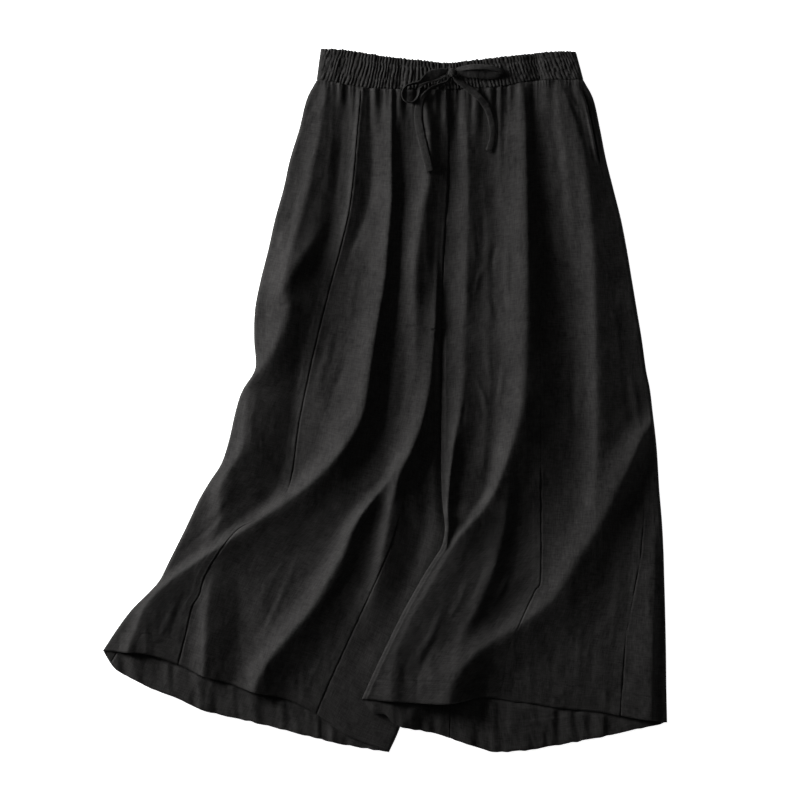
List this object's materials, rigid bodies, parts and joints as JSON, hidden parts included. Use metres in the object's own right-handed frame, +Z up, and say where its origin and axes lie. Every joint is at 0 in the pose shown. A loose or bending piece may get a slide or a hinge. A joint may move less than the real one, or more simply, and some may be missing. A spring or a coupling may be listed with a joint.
{
  "type": "culottes",
  "caption": "Wide-leg linen culottes laid flat on their back, with a gathered elastic waistband, a tied drawstring, a side-seam pocket and seamed front panels.",
  "frame": {"origin": "middle of the outline of the culottes, on the surface that they lie on", "axes": "+X towards the wearer's left, +Y towards the waist, +Z up from the surface, out of the front of the culottes"},
  "size_m": [0.6768, 0.8436, 0.0259],
  "materials": {
    "body_linen": "matte",
    "waistband_linen": "matte",
    "drawstring_linen": "matte"
  },
  "bodies": {
    "root": {"right_front_side": "body_linen", "right_front_centre": "body_linen", "right_back": "body_linen", "left_front_centre": "body_linen", "left_front_side": "body_linen", "left_back": "body_linen", "left_pocket_facing": "body_linen", "waistband_front": "waistband_linen", "waistband_back": "waistband_linen", "drawstring_knot": "drawstring_linen", "drawstring_right_loop": "drawstring_linen", "drawstring_left_loop": "drawstring_linen", "drawstring_right_end": "drawstring_linen", "drawstring_left_end": "drawstring_linen"}
  },
  "joints": []
}
